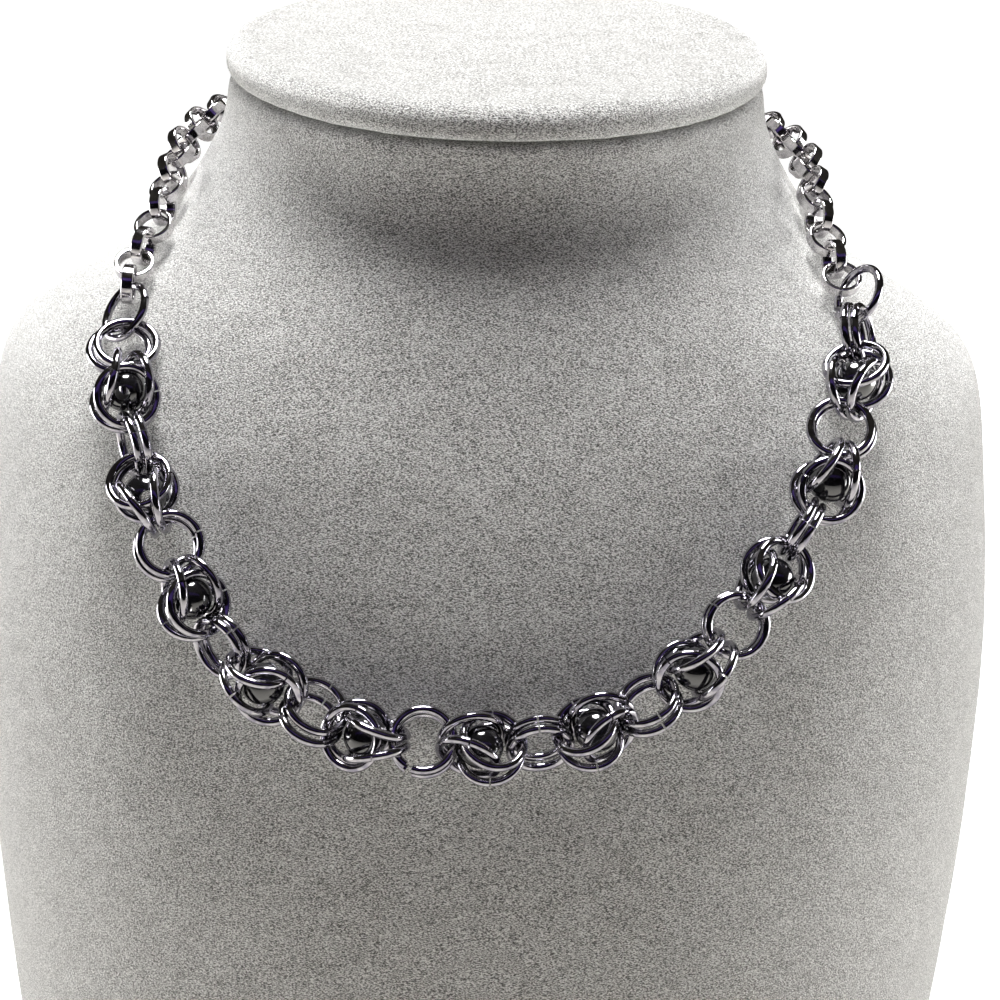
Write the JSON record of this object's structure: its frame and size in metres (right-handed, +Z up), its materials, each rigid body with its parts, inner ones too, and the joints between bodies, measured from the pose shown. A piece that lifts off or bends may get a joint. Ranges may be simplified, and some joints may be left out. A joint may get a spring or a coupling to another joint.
{
  "type": "chainmail necklace on a neck bust",
  "caption": "Necklace of hooked jump-ring cages that each hold a loose round black bead, on a belcher chain, worn by a velvet-covered neck display bust.",
  "frame": {"origin": "in the plane of the flat base of the bust, under the middle of its neck", "axes": "+Z up, -Y the front of the bust, +X to the right as seen from the front"},
  "size_m": [0.2138, 0.1485, 0.2443],
  "materials": {
    "velvet_body": "short-pile ivory velvet",
    "velvet_cap": "short-pile ivory velvet",
    "black_beads": "high polish black hematite",
    "ring_steel": "mirror-polished stainless steel wire",
    "chain_steel": "polished stainless steel band"
  },
  "bodies": {
    "root": {"bead_01": "black_beads", "bead_02": "black_beads", "bead_03": "black_beads", "bead_04": "black_beads", "bead_05": "black_beads", "bead_06": "black_beads", "bead_07": "black_beads", "bead_08": "black_beads", "bead_09": "black_beads", "bead_10": "black_beads", "bead_11": "black_beads", "bust_body": "velvet_body", "bust_neck_cap": "velvet_cap", "cage_01": "ring_steel", "cage_02": "ring_steel", "cage_03": "ring_steel", "cage_04": "ring_steel", "cage_05": "ring_steel", "cage_06": "ring_steel", "cage_07": "ring_steel", "cage_08": "ring_steel", "cage_09": "ring_steel", "cage_10": "ring_steel", "cage_11": "ring_steel", "chain_left": "chain_steel", "chain_right": "chain_steel", "clasp": "chain_steel", "end_ring_left": "ring_steel", "end_ring_right": "ring_steel", "link_pair_01": "ring_steel", "link_pair_02": "ring_steel", "link_pair_03": "ring_steel", "link_pair_04": "ring_steel", "link_pair_05": "ring_steel", "link_pair_06": "ring_steel", "link_pair_07": "ring_steel", "link_pair_08": "ring_steel", "link_pair_09": "ring_steel", "link_pair_10": "ring_steel", "link_pair_11": "ring_steel", "link_pair_12": "ring_steel"}
  },
  "joints": []
}
